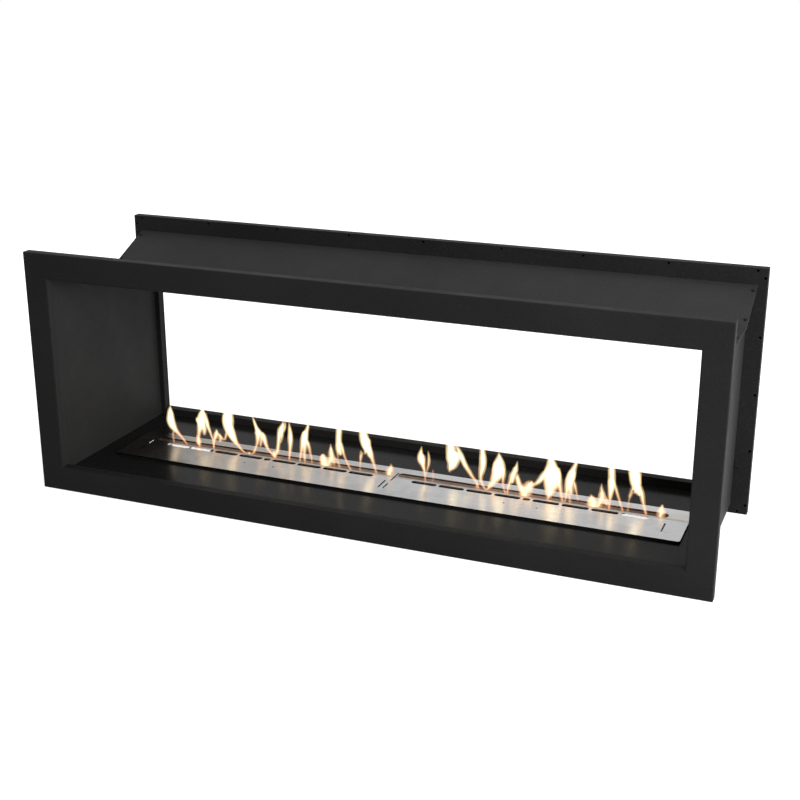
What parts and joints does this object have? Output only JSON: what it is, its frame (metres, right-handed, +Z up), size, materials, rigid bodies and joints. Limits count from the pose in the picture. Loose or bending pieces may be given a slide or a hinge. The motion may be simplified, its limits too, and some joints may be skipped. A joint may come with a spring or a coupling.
{
  "type": "double-sided built-in fireplace",
  "caption": "Built-in firebox of folded black sheet steel, open at the front and the back, with a long stainless steel drop-in burner whose flame troughs close with sliding shutters.",
  "frame": {"origin": "middle of the footprint, on the plane that the base rests on", "axes": "+X along the width to the right as seen from the front opening, +Y from the front opening to the back one, +Z up; the flame troughs lie on the +Y side of the burner"},
  "size_m": [1.65, 0.505, 0.597],
  "materials": {
    "black_coat": "satin powder coat",
    "grey_coat": "matt powder coat",
    "black_oxide": "black oxide",
    "floor_coat": "semi-gloss coat",
    "stainless_steel": "fine brushed",
    "polished_steel": "mirror polished",
    "heat_tinted_steel": "heat tinted",
    "zinc_plate": "zinc plated",
    "insulation_board": "pressed mineral board",
    "ceramic_wool": "ceramic fibre",
    "gasket_felt": "graphite felt"
  },
  "bodies": {
    "firebox": {"front_trim_frame": "black_coat", "front_mounting_flange": "black_coat", "front_upper_left_trim_clip": "zinc_plate", "front_upper_right_trim_clip": "zinc_plate", "front_lower_left_trim_clip": "zinc_plate", "front_lower_right_trim_clip": "zinc_plate", "rear_trim_frame": "black_coat", "rear_mounting_flange": "black_coat", "rear_upper_left_trim_clip": "zinc_plate", "rear_upper_right_trim_clip": "zinc_plate", "rear_lower_left_trim_clip": "zinc_plate", "rear_lower_right_trim_clip": "zinc_plate", "base_pan": "black_coat", "floor_plate": "floor_coat", "left_side_panel": "grey_coat", "left_side_insulation": "insulation_board", "left_inner_panel": "grey_coat", "right_side_panel": "grey_coat", "right_side_insulation": "insulation_board", "right_inner_panel": "grey_coat", "top_tray": "grey_coat", "top_insulation": "insulation_board", "ceiling_panel": "grey_coat", "left_front_tray_screw": "black_oxide", "left_front_bend_tray_screw": "black_oxide", "left_middle_tray_screw": "black_oxide", "left_rear_bend_tray_screw": "black_oxide", "left_rear_tray_screw": "black_oxide", "right_front_tray_screw": "black_oxide", "right_front_bend_tray_screw": "black_oxide", "right_middle_tray_screw": "black_oxide", "right_rear_bend_tray_screw": "black_oxide", "right_rear_tray_screw": "black_oxide"},
    "burner": {"burner_top_plate": "stainless_steel", "burner_gasket": "gasket_felt", "left_slot_cover": "polished_steel", "right_slot_cover": "polished_steel", "left_fuel_tank": "stainless_steel", "left_ceramic_wool": "ceramic_wool", "left_flame_channel": "heat_tinted_steel", "left_outer_shutter_rail": "stainless_steel", "left_middle_shutter_rail": "stainless_steel", "left_inner_shutter_rail": "stainless_steel", "right_fuel_tank": "stainless_steel", "right_ceramic_wool": "ceramic_wool", "right_flame_channel": "heat_tinted_steel", "right_outer_shutter_rail": "stainless_steel", "right_middle_shutter_rail": "stainless_steel", "right_inner_shutter_rail": "stainless_steel"},
    "left_shutter": {"left_shutter": "stainless_steel"},
    "right_shutter": {"right_shutter": "stainless_steel"}
  },
  "joints": [
    {"name": "burner_lift", "type": "slide", "parent": "firebox", "child": "burner", "axis": [0, 0, 1], "range_m": [0, 0.15]},
    {"name": "left_shutter_slide", "type": "slide", "parent": "burner", "child": "left_shutter", "axis": [0, 1, 0], "range_m": [0, 0.04975]},
    {"name": "right_shutter_slide", "type": "slide", "parent": "burner", "child": "right_shutter", "axis": [0, 1, 0], "range_m": [0, 0.04975]}
  ]
}
